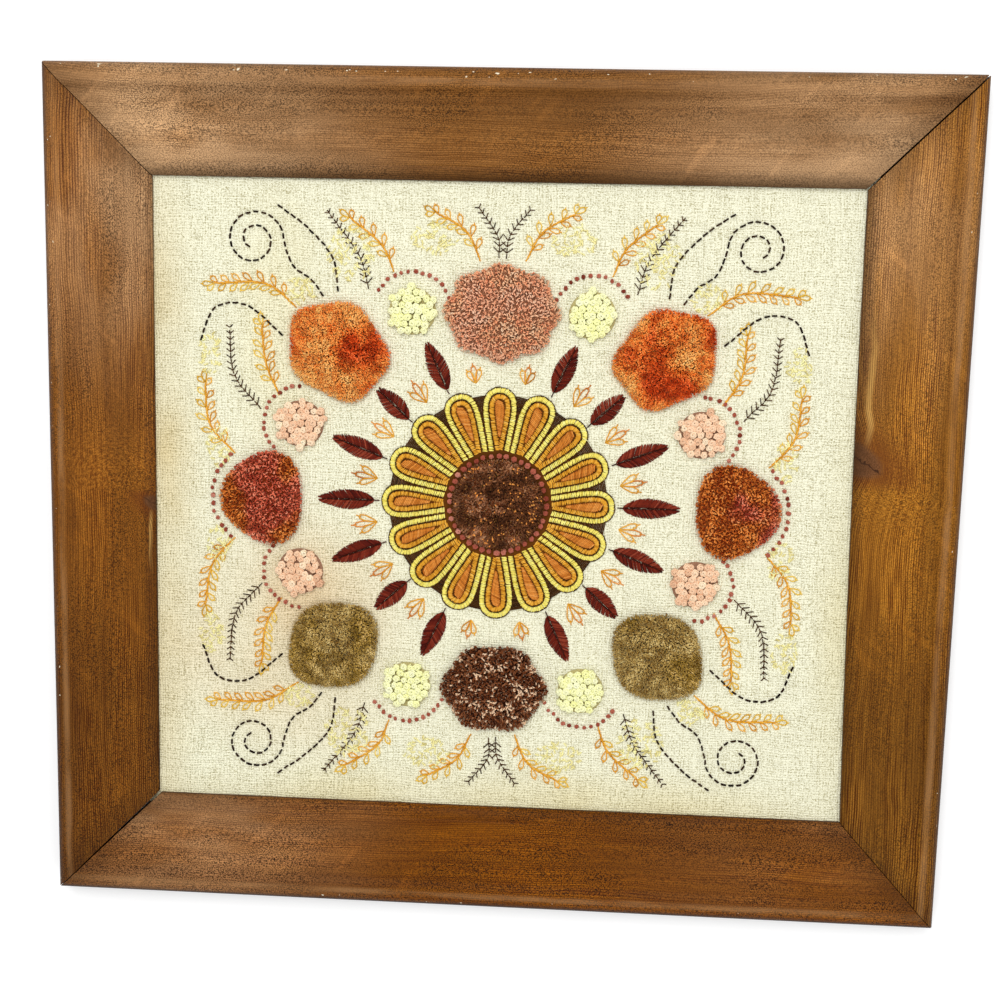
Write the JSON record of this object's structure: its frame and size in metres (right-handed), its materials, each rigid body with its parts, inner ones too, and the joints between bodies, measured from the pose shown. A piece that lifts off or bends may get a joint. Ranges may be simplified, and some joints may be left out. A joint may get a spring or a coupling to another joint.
{
  "type": "framed crewel embroidery picture",
  "caption": "Flat rectangular crewel embroidery on cream linen, with tufted wool flowers, knots and satin stitch, behind a wide mitred wooden frame that lies or stands on its edge.",
  "frame": {"origin": "centre of the picture on the plane of the frame's back, on which it lies", "axes": "+X across the picture to its right, +Y up the picture, +Z out of its face"},
  "size_m": [0.508, 0.473, 0.0223],
  "materials": {
    "stained_pine": "satin stained pine with fine straight grain",
    "linen": "plain-woven cream linen with slubs",
    "hardboard": "plain brown board, matt",
    "brown_wool": "cut wool pile, dark brown",
    "gold_wool": "padded satin stitch in yellow, gold and orange wool",
    "mauve_wool": "looped wool pile, dusty pink",
    "chestnut_wool": "looped wool pile, chestnut with beige tips",
    "rust_wool": "cut wool pile, rust to peach",
    "olive_wool": "cut wool pile, olive brown",
    "ochre_wool": "looped wool pile, ochre to dark rose",
    "cream_wool": "French knots in cream wool",
    "rose_wool": "French knots in pale rose wool"
  },
  "bodies": {
    "root": {"rail_top": "stained_pine", "rail_right": "stained_pine", "rail_bottom": "stained_pine", "rail_left": "stained_pine", "linen_ground": "linen", "backing_board": "hardboard", "sunflower_disc": "brown_wool", "sunflower_petals": "gold_wool", "dahlia_top": "mauve_wool", "dahlia_bottom": "chestnut_wool", "marigold_left": "rust_wool", "marigold_right": "rust_wool", "moss_left": "olive_wool", "moss_right": "olive_wool", "fig_left": "ochre_wool", "fig_right": "ochre_wool", "knots_inner_upper_left": "cream_wool", "knots_inner_upper_right": "cream_wool", "knots_inner_lower_left": "cream_wool", "knots_inner_lower_right": "cream_wool", "knots_outer_upper_left": "rose_wool", "knots_outer_upper_right": "rose_wool", "knots_outer_lower_left": "rose_wool", "knots_outer_lower_right": "rose_wool"}
  },
  "joints": []
}
